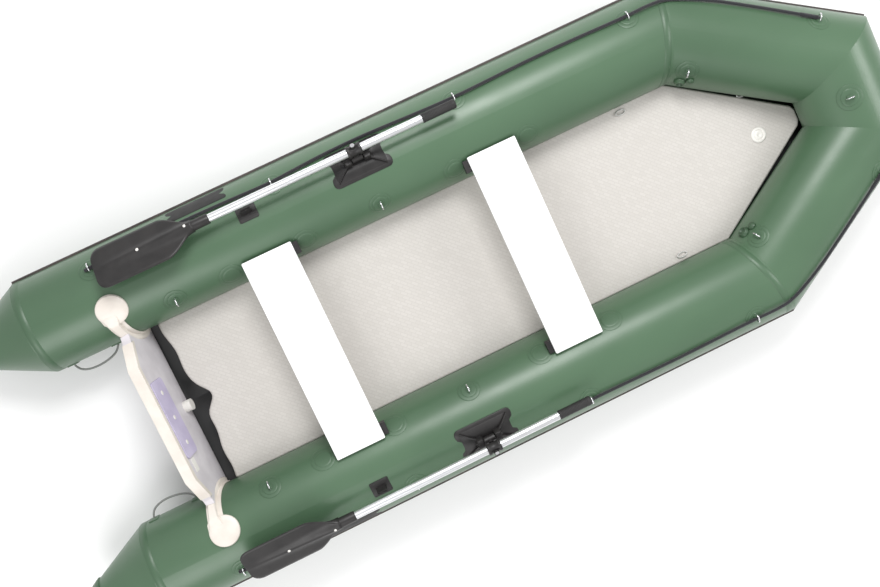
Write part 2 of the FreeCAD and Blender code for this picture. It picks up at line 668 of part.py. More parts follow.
# Grab line routes: (x, angle outboard from the crest, height of the rope's middle over the tube).
SIDE_ROUTE = [
    (-1232, 34.0, 12), (-1130, 36.5, 9), (-1000, 38.5, 8), (-870, 39.6, 8), (-740, 39.0, 8), (-620, 37.4, 9),
    (-514, 35.4, 12), (-410, 38.8, 9), (-280, 41.5, 8), (-150, 41.8, 8), (-20, 39.4, 8), (100, 37.2, 9),
    (206, 35.4, 12), (310, 36.8, 9), (430, 38.4, 8), (560, 39.2, 8), (690, 38.8, 8), (805, 37.4, 9),
    (908, 35.6, 13),
]
BOW_ROUTE = [(1150, 41.5, 10), (1240, 42.4, 9), (1340, 41.8, 9), (1430, 40.0, 10), (1500, 38.0, 12)]
for label, side in SIDES.items():
    route = [on_side_tube(side, x, angle, lift) for x, angle, lift in SIDE_ROUTE]
    route.append(on_side_tube(side, 1000, 36.4, 14))
    route.append(on_side_tube(side, 1070, 37.0, 12) + Vector(0, -side * 8, 2))
    route += [on_bow_tube(side, x, angle, lift)[0] for x, angle, lift in BOW_ROUTE]
    rope(f"{label}_grab_line", route, size("rope_dia"))
    inner = axis_y - radius
    handle = [(-1454, -4, 168), (-1449, -22, 166), (-1428, -38, 163), (-1396, -45, 160), (-1358, -44, 160),
              (-1320, -36, 163), (-1292, -22, 166), (-1280, -4, 170)]
    loop = [Vector(x, side * (inner + y), z) for x, y, z in handle]
    rope(f"{label}_stern_handle", loop, size("handle_rope_dia"))

doc.recompute()
faults = [piece.Name for piece in doc.Objects if {"Invalid", "Error"} & set(piece.State)]
for name, piece in nodes:
    if piece.Shape.isNull() or not piece.Shape.isValid() or not piece.Shape.Solids:
        faults.append(name)
if faults:
    raise RuntimeError(f"failed objects: {faults}")
for name, piece in nodes:
    piece.Shape.exportStep(f"parts/{name}.step")
    print(f"{name}: {len(piece.Shape.Solids)} solids, {piece.Shape.Volume / 1000:.0f} cm3")
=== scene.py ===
import math

import bmesh
import bpy
from mathutils import Matrix, Vector


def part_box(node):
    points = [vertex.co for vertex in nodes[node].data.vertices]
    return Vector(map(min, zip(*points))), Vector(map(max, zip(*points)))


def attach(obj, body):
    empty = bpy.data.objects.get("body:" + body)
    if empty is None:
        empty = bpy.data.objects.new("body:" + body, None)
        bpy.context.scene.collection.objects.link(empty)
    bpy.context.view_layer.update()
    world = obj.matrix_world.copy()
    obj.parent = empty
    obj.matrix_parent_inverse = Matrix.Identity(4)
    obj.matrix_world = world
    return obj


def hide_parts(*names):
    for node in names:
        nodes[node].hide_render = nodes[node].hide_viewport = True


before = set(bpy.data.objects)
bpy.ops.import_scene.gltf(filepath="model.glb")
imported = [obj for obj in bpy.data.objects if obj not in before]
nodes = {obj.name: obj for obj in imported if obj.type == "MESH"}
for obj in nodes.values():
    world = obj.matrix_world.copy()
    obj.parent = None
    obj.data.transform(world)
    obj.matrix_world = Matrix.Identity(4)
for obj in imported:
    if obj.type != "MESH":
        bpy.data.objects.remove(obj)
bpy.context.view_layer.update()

# Main sizes of the boat, in metres, read from the frame's own boxes.
SIDES = {"port": 1, "starboard": -1}
tube_low, tube_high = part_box("port_side_tube")
RADIUS = (tube_high[2] - tube_low[2]) / 2
AXIS_Y = (tube_low[1] + tube_high[1]) / 2
SEAM_X = tube_low[0]
NOSE_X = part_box("nose_tube")[1][0] - RADIUS
NOSE_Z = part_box("nose_tube")[1][2] - RADIUS
NOSE_HALF = 0.145
BOW_LENGTH = 0.547
SHOULDER_X = NOSE_X - BOW_LENGTH
FLOOR_LOW, FLOOR_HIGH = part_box("air_floor")


# Materials ------------------------------------------------------------------

def shader(name, rough, metallic=0.0, coat=0.0, sheen=0.0):
    """A new material and its principled shader, with the constants set on the shader's own sockets."""
    mat = bpy.data.materials.new(name)
    mat.use_nodes = True
    bsdf = mat.node_tree.nodes["Principled BSDF"]
    bsdf.inputs["Roughness"].default_value = rough
    bsdf.inputs["Metallic"].default_value = metallic
    bsdf.inputs["Coat Weight"].default_value = coat
    bsdf.inputs["Sheen Weight"].default_value = sheen
    return mat, mat.node_tree, bsdf


def noise(tree, scale, detail=4.0, stretch=(1, 1, 1)):
    """Noise in object space; stretch scales the axes."""
    coords = tree.nodes.new("ShaderNodeTexCoord")
    mapping = tree.nodes.new("ShaderNodeMapping")
    mapping.inputs["Scale"].default_value = stretch
    texture = tree.nodes.new("ShaderNodeTexNoise")
    texture.inputs["Scale"].default_value = scale
    texture.inputs["Detail"].default_value = detail
    tree.links.new(coords.outputs["Object"], mapping.inputs["Vector"])
    tree.links.new(mapping.outputs["Vector"], texture.inputs["Vector"])
    return texture.outputs["Fac"]


def wave(tree, scale, direction="X", kind="BANDS", distortion=0.0):
    coords = tree.nodes.new("ShaderNodeTexCoord")
    texture = tree.nodes.new("ShaderNodeTexWave")
    texture.wave_type = kind
    texture.bands_direction = direction
    texture.inputs["Scale"].default_value = scale
    texture.inputs["Distortion"].default_value = distortion
    tree.links.new(coords.outputs["Object"], texture.inputs["Vector"])
    return texture.outputs["Fac"]


def blend_colours(tree, bsdf, fac, dark, light, low=0.35, high=0.65):
    ramp = tree.nodes.new("ShaderNodeValToRGB")
    ramp.color_ramp.elements[0].position = low
    ramp.color_ramp.elements[1].position = high
    ramp.color_ramp.elements[0].color = (*dark, 1)
    ramp.color_ramp.elements[1].color = (*light, 1)
    tree.links.new(fac, ramp.inputs["Fac"])
    tree.links.new(ramp.outputs["Color"], bsdf.inputs["Base Color"])


def vary_roughness(tree, bsdf, fac, low, high):
    span = tree.nodes.new("ShaderNodeMapRange")
    span.inputs["To Min"].default_value = low
    span.inputs["To Max"].default_value = high
    tree.links.new(fac, span.inputs["Value"])
    tree.links.new(span.outputs["Result"], bsdf.inputs["Roughness"])


def bump(tree, bsdf, height, strength, distance):
    piece = tree.nodes.new("ShaderNodeBump")
    piece.inputs["Strength"].default_value = strength
    piece.inputs["Distance"].default_value = distance
    tree.links.new(height, piece.inputs["Height"])
    old = bsdf.inputs["Normal"].links
    if old:
        tree.links.new(old[0].from_socket, piece.inputs["Normal"])
    tree.links.new(piece.outputs["Normal"], bsdf.inputs["Normal"])


def multiply(tree, first, second):
    node = tree.nodes.new("ShaderNodeMath")
    node.operation = "MULTIPLY"
    tree.links.new(first, node.inputs[0])
    tree.links.new(second, node.inputs[1])
    return node.outputs["Value"]


def coated_fabric(name, dark, light, rough=0.36):
    """Welded PVC fabric: a fine weave under a satin coat, with slow colour changes and soft dents."""
    mat, tree, bsdf = shader(name, rough, coat=0.12)
    bsdf.inputs["Coat Roughness"].default_value = 0.35
    slow = noise(tree, 2.2, 3.0, (0.6, 1, 1))
    blend_colours(tree, bsdf, slow, dark, light)
    vary_roughness(tree, bsdf, noise(tree, 9.0, 5.0), rough - 0.06, rough + 0.08)
    weave = multiply(tree, wave(tree, 300.0, "X"), wave(tree, 300.0, "Y"))
    bump(tree, bsdf, weave, 0.05, 0.0004)
    bump(tree, bsdf, noise(tree, 5.0, 2.0), 0.12, 0.01)
    return mat


def moulded(name, dark, light, rough=0.45, grain=420.0):
    """Moulded plastic with a fine grain and scuffed patches."""
    mat, tree, bsdf = shader(name, rough)
    blend_colours(tree, bsdf, noise(tree, 14.0, 6.0), dark, light)
    vary_roughness(tree, bsdf, noise(tree, 30.0, 4.0), rough - 0.1, rough + 0.1)
    bump(tree, bsdf, noise(tree, grain, 2.0), 0.12, 0.0006)
    return mat


def metal(name, colour, rough, brushed=(1, 30, 30)):
    """Drawn or polished metal with fine lines along X."""
    mat, tree, bsdf = shader(name, rough, metallic=1.0)
    shade = tuple(c * 0.88 for c in colour)
    blend_colours(tree, bsdf, noise(tree, 18.0, 5.0, brushed), shade, colour)
    vary_roughness(tree, bsdf, noise(tree, 26.0, 4.0, brushed), rough - 0.06, rough + 0.1)
    bump(tree, bsdf, noise(tree, 60.0, 2.0, brushed), 0.05, 0.0005)
    return mat


def braid(name, dark, light, scale=150.0):
    """Braided rope: crossed diagonal strands, with painted shade in the grooves and painted highlight on the
    strand crests.
    """
    mat, tree, bsdf = shader(name, 0.8, sheen=0.25)
    strands = multiply(tree, wave(tree, scale, "DIAGONAL"), wave(tree, scale * 1.1, "X", distortion=1.5))
    # The strand relief also sets the colour: painted shade where the strands sink, painted highlight where
    # they rise.
    blend_colours(tree, bsdf, strands, dark, light, 0.1, 0.8)
    bump(tree, bsdf, strands, 0.7, 0.0015)
    return mat


def embossed_floor():
    """The air floor's deck: pale coated fabric embossed with small staggered bars, with painted shade
    darkening the grooves between them.
    """
    mat, tree, bsdf = shader("floor_emboss", 0.5)
    coords = tree.nodes.new("ShaderNodeTexCoord")
    turn = tree.nodes.new("ShaderNodeMapping")
    turn.inputs["Rotation"].default_value = (0, 0, math.radians(45))
    brick = tree.nodes.new("ShaderNodeTexBrick")
    brick.inputs["Scale"].default_value = 34.0
    brick.inputs["Mortar Size"].default_value = 0.06
    brick.inputs["Mortar Smooth"].default_value = 0.8
    brick.inputs["Brick Width"].default_value = 0.9
    brick.inputs["Row Height"].default_value = 0.42
    brick.inputs["Color1"].default_value = (0.53, 0.505, 0.475, 1)
    brick.inputs["Color2"].default_value = (0.56, 0.535, 0.505, 1)
    # Painted shade: the mortar, which the bump below sinks into grooves, is coloured darker than the bars.
    brick.inputs["Mortar"].default_value = (0.49, 0.465, 0.435, 1)
    tree.links.new(coords.outputs["Object"], turn.inputs["Vector"])
    tree.links.new(turn.outputs["Vector"], brick.inputs["Vector"])
    tree.links.new(brick.outputs["Color"], bsdf.inputs["Base Color"])
    bump(tree, bsdf, brick.outputs["Fac"], -0.35, 0.0015)
    bump(tree, bsdf, noise(tree, 3.0, 2.0), 0.35, 0.012)
    vary_roughness(tree, bsdf, noise(tree, 8.0, 5.0), 0.4, 0.58)
    return mat


GREEN = coated_fabric("hull_green_fabric", (0.060, 0.118, 0.065), (0.074, 0.142, 0.079), 0.34)
GREEN_TAPE = coated_fabric("hull_green_tape", (0.054, 0.108, 0.059), (0.066, 0.130, 0.071), 0.40)
VALVE = moulded("valve_green_plastic", (0.035, 0.075, 0.038), (0.05, 0.10, 0.052), 0.4)
STRAKE = moulded("strake_rubber", (0.045, 0.036, 0.034), (0.075, 0.06, 0.055), 0.6)
SKIN = coated_fabric("bottom_black_fabric", (0.012, 0.012, 0.013), (0.022, 0.022, 0.023), 0.45)
FLOOR = embossed_floor()
TRANSOM = moulded("transom_grey_laminate", (0.60, 0.57, 0.60), (0.69, 0.66, 0.69), 0.42)
CREAM = moulded("holder_cream_vinyl", (0.68, 0.62, 0.56), (0.76, 0.71, 0.65), 0.4)
LAVENDER = moulded("motor_plate_lavender", (0.50, 0.45, 0.62), (0.58, 0.53, 0.70), 0.38)
WHITE = moulded("bench_white_paint", (0.86, 0.86, 0.86), (0.93, 0.93, 0.93), 0.3, 260.0)
FITTING = moulded("fitting_white_plastic", (0.72, 0.70, 0.66), (0.82, 0.80, 0.76), 0.35)
STEEL = metal("ring_steel", (0.78, 0.78, 0.80), 0.2)
ALLOY = metal("shaft_alloy_bar", (0.86, 0.87, 0.89), 0.28)
BLACK = moulded("black_plastic", (0.009, 0.008, 0.008), (0.019, 0.017, 0.017), 0.45)
BLACK_SOFT = moulded("black_rubber", (0.010, 0.010, 0.010), (0.022, 0.021, 0.021), 0.6)
# The braids' dark and light colours are painted shade in the grooves and painted highlight on the strands.
ROPE = braid("rope_black_braid", (0.006, 0.006, 0.008), (0.035, 0.035, 0.045))
ROPE_GREY = braid("rope_grey_braid", (0.20, 0.21, 0.20), (0.42, 0.43, 0.41))
TIE = braid("tie_white_cord", (0.6, 0.6, 0.58), (0.85, 0.85, 0.83))

# The first key that a node's name holds gives its material, so bench_holders comes before holder.
NODE_MATERIALS = [
    ("bench_holders", BLACK), ("grab_line", ROPE), ("stern_handle", ROPE_GREY), ("tube_valves", VALVE),
    ("_tube", GREEN),
    ("stern_cone_caps", GREEN_TAPE), ("stern_cone", GREEN), ("strake", STRAKE), ("hull_bottom", SKIN),
    ("air_floor", FLOOR), ("transom_board", TRANSOM), ("holder", CREAM), ("motor_plate", LAVENDER),
    ("drain_valve", FITTING), ("floor_valve", FITTING), ("bench", WHITE),
    ("d_rings", STEEL), ("shaft", ALLOY), ("oar", BLACK),
]
for name, piece in nodes.items():
    chosen = next(mat for key, mat in NODE_MATERIALS if key in name)
    piece.data.materials.clear()
    piece.data.materials.append(chosen)


# Mesh helpers ---------------------------------------------------------------

def keep(piece, body="hull"):
    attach(piece, body)
    return piece


def mesh_piece(name, verts, faces, mat, smooth=True):
    mesh = bpy.data.meshes.new(name)
    mesh.from_pydata([tuple(v) for v in verts], [], faces)
    mesh.validate()
    piece = bpy.data.objects.new(name, mesh)
    bpy.context.scene.collection.objects.link(piece)
    mesh.materials.append(mat)
    work = bmesh.new()
    work.from_mesh(mesh)
    bmesh.ops.recalc_face_normals(work, faces=work.faces)
    work.to_mesh(mesh)
    work.free()
    for face in mesh.polygons:
        face.use_smooth = smooth
    return piece


def rounded(piece, width, segments=3, angle=35):
    """A bevel on the piece's edges, with shading that keeps its flats flat."""
    bevel = piece.modifiers.new("edge", "BEVEL")
    bevel.width = width
    bevel.segments = segments
    bevel.limit_method = "ANGLE"
    bevel.angle_limit = math.radians(angle)
    bevel.harden_normals = True
    return piece


def prism(outline, low, high, place=Matrix.Identity(4)):
    """Vertices and faces of an outline of (x, y) points raised from low to high in place's frame."""
    count = len(outline)
    verts = [place @ Vector((x, y, low)) for x, y in outline]
    verts += [place @ Vector((x, y, high)) for x, y in outline]
    faces = [list(range(count))[::-1], list(range(count, 2 * count))]
    faces += [[i, (i + 1) % count, count + (i + 1) % count, count + i] for i in range(count)]
    return verts, faces


def lofted(rings, closed=True, caps=True):
    """Vertices and faces through rings of equally many points."""
    count = len(rings[0])
    verts = [point for ring in rings for point in ring]
    faces = []
    for row in range(len(rings) - 1):
        for i in range(count if closed else count - 1):
            j = (i + 1) % count
            faces.append([row * count + i, row * count + j, (row + 1) * count + j, (row + 1) * count + i])
    if caps:
        faces.append(list(range(count))[::-1])
        faces.append(list(range((len(rings) - 1) * count, len(rings) * count)))
    return verts, faces


def joined(parts):
    """One set of vertices and faces from several."""
    verts, faces = [], []
    for part_verts, part_faces in parts:
        shift = len(verts)
        verts += part_verts
        faces += [[i + shift for i in face] for face in part_faces]
    return verts, faces


def turned(profile, place, count=32):
    """A solid of revolution about place's Z, from (radius, height) points."""
    rings = []
    for radius, height in profile:
        ring = [place @ Vector((radius * math.cos(2 * math.pi * i / count),
                                radius * math.sin(2 * math.pi * i / count), height)) for i in range(count)]
        rings.append(ring)
    return lofted(rings)


def aim(origin, z_dir, x_hint=Vector((1, 0, 0))):
    z_dir = Vector(z_dir).normalized()
    x_dir = (x_hint - z_dir * x_hint.dot(z_dir)).normalized()
    y_dir = z_dir.cross(x_dir)
    rows = Matrix((x_dir, y_dir, z_dir)).transposed().to_4x4()
    return Matrix.Translation(origin) @ rows


# The tubes' surfaces: places on them are (distance along, angle outboard from the crest, height over).

def run_of(kind, side):
    """Start, direction and length of a tube's axis."""
    shoulder = Vector((SHOULDER_X, side * AXIS_Y, RADIUS))
    corner = Vector((NOSE_X, side * NOSE_HALF, NOSE_Z))
    if kind == "side":
        start, end = Vector((SEAM_X, side * AXIS_Y, RADIUS)), shoulder
    elif kind == "bow":
        start, end = shoulder, corner
    else:
        start, end = corner, Vector((NOSE_X, -side * NOSE_HALF, NOSE_Z))
    return start, (end - start).normalized(), (end - start).length


def on_tube(kind, side, x, angle, rise=0.0):
    """A point over a tube, and the outward direction there; x is along the boat, or across on the nose."""
    start, run, length = run_of(kind, side)
    if kind == "nose":
        flat = Vector((1, 0, 0))
        foot = Vector((NOSE_X, x, NOSE_Z))
    else:
        flat = Vector((-run.y, run.x, 0)).normalized() * side
        foot = start + run * ((x - start.x) / run.x)
    crest = run.cross(flat).normalized()
    if crest.z < 0:
        crest = -crest
    turn = math.radians(angle)
    out = flat * math.sin(turn) + crest * math.cos(turn)
    return foot + out * (RADIUS + rise), out


PATCH_EDGE = 0.7
PATCH_TOP = 0.97


def tube_patch(kind, side, x, angle, outline, thick, sink=0.001, steps=6):
    """A thin patch wrapped on a tube: outline gives (along, round) offsets in metres from its centre."""
    along_boat = 1 if kind == "nose" else abs(run_of(kind, side)[1].x)

    def shrunk(share, rise):
        """The outline at a share of its size, and at a height over the tube."""
        return [on_tube(kind, side, x + along * share * along_boat,
                        angle + math.degrees(around * share / RADIUS), rise)[0]
                for along, around in outline]

    rings = [shrunk(1.0, -sink), shrunk(1.0, thick * PATCH_EDGE)]
    rings += [shrunk(PATCH_TOP * (1 - step / steps), thick) for step in range(steps)]
    verts, faces = lofted(rings, caps=False)
    count = len(outline)
    last = len(verts) - count
    verts.append(on_tube(kind, side, x, angle, thick)[0])
    faces += [[last + i, last + (i + 1) % count, len(verts) - 1] for i in range(count)]
    return verts, faces


def circle(radius, count=36):
    return [(radius * math.cos(2 * math.pi * i / count), radius * math.sin(2 * math.pi * i / count))
            for i in range(count)]


def round_box(length, width, corner, steps=4):
    """A rounded rectangle's outline."""
    points = []
    for cx, cy, begin in ((1, 1, 0), (-1, 1, 90), (-1, -1, 180), (1, -1, 270)):
        for i in range(steps + 1):
            turn = math.radians(begin + 90 * i / steps)
            points.append((cx * (length / 2 - corner) + corner * math.cos(turn),
                           cy * (width / 2 - corner) + corner * math.sin(turn)))
    return points


# Hull trim ------------------------------------------------------------------

def seam_tape(side, x, lean, width=0.028):
    """A band of tape round a side tube over a seam; lean slants it along, in metres per metre outboard."""
    rings = []
    for across, rise in ((-0.5, -0.0005), (-0.46, 0.0009), (0.46, 0.0009), (0.5, -0.0005)):
        ring = []
        for step in range(96):
            angle = 360 * step / 96
            shift = across * width + lean * RADIUS * math.sin(math.radians(angle))
            ring.append(on_tube("side", side, x + shift, angle, rise)[0])
        rings.append(ring)
    return lofted(rings, caps=False)


STERN_TAPE_INSET = 0.016
SHOULDER_TAPE_INSET = 0.030
bow_turn = math.atan2(AXIS_Y - NOSE_HALF, NOSE_X - SHOULDER_X)
tape_parts = []
for side in SIDES.values():
    tape_parts.append(seam_tape(side, SEAM_X + STERN_TAPE_INSET, 0.0))
    tape_parts.append(seam_tape(side, SHOULDER_X - SHOULDER_TAPE_INSET, math.tan(bow_turn / 2)))
keep(mesh_piece("seam_tapes", *joined(tape_parts), GREEN_TAPE))

# The D-rings' places, as the part's source has them: x along the boat and degrees outboard from the crest.
INNER_RING_X = (-0.999, -0.192)
INNER_RING_ANGLE = -43
ROPE_RING_X = (-1.215, -0.514, 0.206, 0.908)
ROPE_RING_ANGLE = 35.5
BOW_INNER_RING = (1.129, -50)
BOW_ROPE_RING = (1.500, 38)
NOSE_RING_BACK = 0.062
ring_spots = []
for side in SIDES.values():
    ring_spots += [("side", side, x, INNER_RING_ANGLE) for x in INNER_RING_X]
    ring_spots += [("side", side, x, ROPE_RING_ANGLE) for x in ROPE_RING_X]
    ring_spots += [("bow", side, *BOW_INNER_RING), ("bow", side, *BOW_ROPE_RING)]
nose_spot = ("nose", 1, 0.0, -math.degrees(math.asin(NOSE_RING_BACK / RADIUS)))


def round_patch(spot, wide, narrow, low, high):
    """Two round layers at one spot: a wide one of height low, and a narrow one of height high."""
    return [tube_patch(*spot, circle(wide), low), tube_patch(*spot, circle(narrow), high)]


# Round reinforcing patches: one under each D-ring, and one before and behind each bench end.
BENCH_PATCH_OFFSET = 0.145
BENCH_PATCH_ANGLE = -46
patch_parts = []
tab_parts = []
for spot in ring_spots:
    patch_parts += round_patch(spot, 0.043, 0.030, 0.0020, 0.0036)
    tab_parts.append(tube_patch(*spot, round_box(0.016, 0.022, 0.004), 0.008))
patch_parts += round_patch(nose_spot, 0.048, 0.033, 0.0014, 0.0026)
tab_parts.append(tube_patch(*nose_spot, round_box(0.016, 0.022, 0.004), 0.008))
for side in SIDES.values():
    for bench_low, bench_high in (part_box("aft_bench"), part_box("fore_bench")):
        middle = (bench_low[0] + bench_high[0]) / 2
        for end in (-1, 1):
            spot = ("side", side, middle + end * BENCH_PATCH_OFFSET, BENCH_PATCH_ANGLE)
            patch_parts += round_patch(spot, 0.048, 0.034, 0.0016, 0.0026)
keep(mesh_piece("round_patches", *joined(patch_parts), GREEN_TAPE))
keep(mesh_piece("ring_tabs", *joined(tab_parts), GREEN_TAPE))

# Bare black patches on the outer side of both tubes.
SIDE_PATCH_X = -0.794
SIDE_PATCH_ANGLE = 60
for label, side in SIDES.items():
    patch = tube_patch("side", side, SIDE_PATCH_X, SIDE_PATCH_ANGLE, round_box(0.23, 0.074, 0.008), 0.0016)
    keep(mesh_piece(f"{label}_side_patch", *patch, BLACK_SOFT))

# Round caps on the cones.
CAP_LENGTH = 0.04
for label, side in SIDES.items():
    tip_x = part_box("stern_cone_caps")[0][0]
    place = aim(Vector((tip_x + CAP_LENGTH, side * AXIS_Y, RADIUS)), Vector((-1, 0, 0)), Vector((0, 0, 1)))
    profile = [(0.066, -0.006), (0.068, 0.0), (0.0605, 0.013), (0.052, 0.028), (0.045, 0.036), (0.03, 0.0395),
               (0.0, 0.0400)]
    cap = mesh_piece(f"{label}_cone_cap", *turned(profile, place, 48), GREEN_TAPE)
    keep(cap)
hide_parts("stern_cone_caps")
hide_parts("stern_cone_caps")


# Air floor ------------------------------------------------------------------

def floor_outline():
    """The floor's plan: aft edge with a drain notch, straight sides, and the bow's point."""
    inner = AXIS_Y - math.sqrt(RADIUS ** 2 - (RADIUS - FLOOR_HIGH[2]) ** 2) + 0.003
    slope = (NOSE_HALF - AXIS_Y) / (NOSE_X - SHOULDER_X)
    shoulder = SHOULDER_X - (RADIUS + 0.005) * math.tan(bow_turn / 2)
    tip = NOSE_X - math.sqrt(RADIUS ** 2 - (NOSE_Z - FLOOR_HIGH[2]) ** 2)
    tip_y = inner + slope * (tip - shoulder)
    aft = FLOOR_LOW[0]
    points = [(aft + 0.008, -inner), (shoulder, -inner), (tip - 0.012, -tip_y - 0.004), (tip, -tip_y + 0.016),
              (tip, tip_y - 0.016), (tip - 0.012, tip_y + 0.004), (shoulder, inner), (aft + 0.008, inner)]
    steps = 40
    for i in range(steps + 1):
        y = inner * 0.97 * (1 - 2 * i / steps)
        notch = 0.045 * math.exp(-(y / 0.045) ** 2)
        sweep = 0.016 * math.cos(y / inner * math.pi / 2) + 0.004 * math.sin(y * 38)
        points.append((aft + 0.004 + notch + sweep, y))
    return points


floor_top = FLOOR_HIGH[2]
deck = mesh_piece("air_floor_deck", *prism(floor_outline(), FLOOR_LOW[2], floor_top), FLOOR)
rounded(deck, 0.018, 5)
keep(deck)
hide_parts("air_floor")

# White cord ties at the floor's edge.
tie_parts = []
for x, y in ((0.793, 0.300), (0.793, -0.300), (1.258, 0.165)):
    for turn_count in range(2):
        place = aim(Vector((x, y, floor_top + 0.003 + 0.002 * turn_count)),
                    Vector((0.1, 0.05 * turn_count, 1)))
        rings = []
        for i in range(28):
            around = 2 * math.pi * i / 28
            middle = Vector((0.020 * math.cos(around), 0.009 * math.sin(around), 0.0))
            out = middle.normalized()
            rings.append([place @ (middle + out * 0.0022 * math.cos(a) + Vector((0, 0, 0.0022 * math.sin(a))))
                          for a in (math.pi * k / 4 for k in range(8))])
        rings.append(rings[0])
        tie_parts.append(lofted(rings, caps=False))
keep(mesh_piece("floor_ties", *joined(tie_parts), TIE))

# Floor valve: a flange, a raised ring and a recessed cap.
low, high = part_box("floor_valve")
place = aim(Vector(((low[0] + high[0]) / 2, (low[1] + high[1]) / 2, low[2])), Vector((0, 0, 1)))
valve_profile = [(0.0, 0.0), (0.031, 0.0), (0.031, 0.002), (0.027, 0.0045), (0.023, 0.0058), (0.0205, 0.0056),
                 (0.0195, 0.0025), (0.018, 0.002), (0.0165, 0.0042), (0.006, 0.0046), (0.005, 0.0030),
                 (0.0, 0.0028)]
keep(mesh_piece("floor_valve_detail", *turned(valve_profile, place, 48), FITTING))
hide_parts("floor_valve")

# Tube valves: a ribbed body with its cap, tethered beside it.
valve_parts = []
for side in SIDES.values():
    spot, out = on_tube("bow", side, 1.121, -72)
    profile = [(0.0, -0.004), (0.023, -0.004), (0.023, 0.004), (0.021, 0.006), (0.0185, 0.012),
               (0.016, 0.014), (0.013, 0.0142), (0.012, 0.008), (0.0, 0.008)]
    valve_parts.append(turned(profile, aim(spot, out), 32))
    spot, out = on_tube("bow", side, 1.150, -66)
    cap = [(0.0, -0.003), (0.015, -0.003), (0.0155, 0.006), (0.014, 0.0085), (0.0, 0.0095)]
    valve_parts.append(turned(cap, aim(spot, out), 24))
keep(mesh_piece("tube_valve_details", *joined(valve_parts), VALVE))
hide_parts("tube_valves")


# Benches --------------------------------------------------------------------
for name in ("aft_bench", "fore_bench"):
    low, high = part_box(name)
    place = Matrix.Translation(((low[0] + high[0]) / 2, (low[1] + high[1]) / 2, 0))
    outline = round_box(high[0] - low[0], high[1] - low[1], 0.004, 3)
    bench = mesh_piece(f"{name}_board", *prism(outline, low[2], high[2], place), WHITE)
    rounded(bench, 0.0025, 3)
    keep(bench)
    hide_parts(name)


# Transom --------------------------------------------------------------------
RAKE = math.radians(10)
board_up = Vector((-math.sin(RAKE), 0, math.cos(RAKE)))
board_aft = Vector((-math.cos(RAKE), 0, -math.sin(RAKE)))
TRANSOM_X = -1.1645
FOOT_Z = 0.098
TOP_Z = 0.375
board_foot = Vector((TRANSOM_X, 0, FOOT_Z))
BOARD_HEIGHT = (TOP_Z - FOOT_Z) / math.cos(RAKE)
BOARD_THICK = 0.034
board_axes = Matrix((Vector((0, -1, 0)), board_up, board_aft)).transposed().to_4x4()
board_place = Matrix.Translation(board_foot) @ board_axes

# A cream trim channel over the board's top edge.
channel = [(-0.004, -0.020), (-0.004, 0.0035), (BOARD_THICK + 0.004, 0.0035), (BOARD_THICK + 0.004, -0.020),
           (BOARD_THICK + 0.0003, -0.020), (BOARD_THICK + 0.0003, 0.0003),
           (-0.0003, 0.0003), (-0.0003, -0.020)]
rings = []
TRIM_END_Y = 0.313
TRIM_END_SINK = 0.058
half_top = AXIS_Y - RADIUS - 0.101
for y, sink in ((-TRIM_END_Y, TRIM_END_SINK), (-half_top, 0.0), (half_top, 0.0), (TRIM_END_Y, TRIM_END_SINK)):
    rings.append([board_place @ Vector((y, BOARD_HEIGHT - sink + up, back)) for back, up in channel])
trim = mesh_piece("transom_trim", *lofted(rings), CREAM)
rounded(trim, 0.002, 2)
keep(trim)


def board_plate(name, width, height, face, drop, corner, middle=0.0, thick=0.006, mat=LAVENDER):
    low = -thick if face > 0 else BOARD_THICK
    outline = [(x + middle, y + BOARD_HEIGHT - drop - height / 2)
               for x, y in round_box(width, height, corner)]
    piece = mesh_piece(name, *prism(outline, low, low + thick, board_place), mat)
    return rounded(piece, thick * 0.35, 3)


for name, width, height, face in (("inner_motor_plate", 0.303, 0.118, 1),
                                  ("outer_motor_plate", 0.256, 0.110, -1)):
    piece = board_plate(f"{name}_moulding", width, height, face, 0.024, 0.016)
    keep(piece)
    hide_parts(name)
blank = board_plate("blank_plate", 0.052, 0.034, 1, 0.05, 0.003, 0.185, 0.0016, FITTING)
keep(blank)

# Three screw heads on each motor plate.
SCREW_DROP = 0.083
mark_parts = []
for face, depth in ((1, -0.0062), (-1, BOARD_THICK + 0.0062)):
    for x in (-0.1, 0.0, 0.1):
        place = board_place @ Matrix.Translation((x, BOARD_HEIGHT - SCREW_DROP, depth))
        direction = 1 if face < 0 else -1
        ring = [(0.0, -0.001 * direction), (0.009, -0.001 * direction), (0.009, 0.0006 * direction),
                (0.0075, 0.0014 * direction), (0.003, 0.0008 * direction), (0.0, 0.0008 * direction)]
        mark_parts.append(turned(ring, place, 24))
keep(mesh_piece("motor_plate_screws", *joined(mark_parts), FITTING))


# Degrees round the tube from its crest.
HOLDER_TOP_ANGLE = 24
HOLDER_FOOT_ANGLE = 110
HOLDER_DISC_ANGLE = -19
HOLDER_DISC_BACK = 0.043


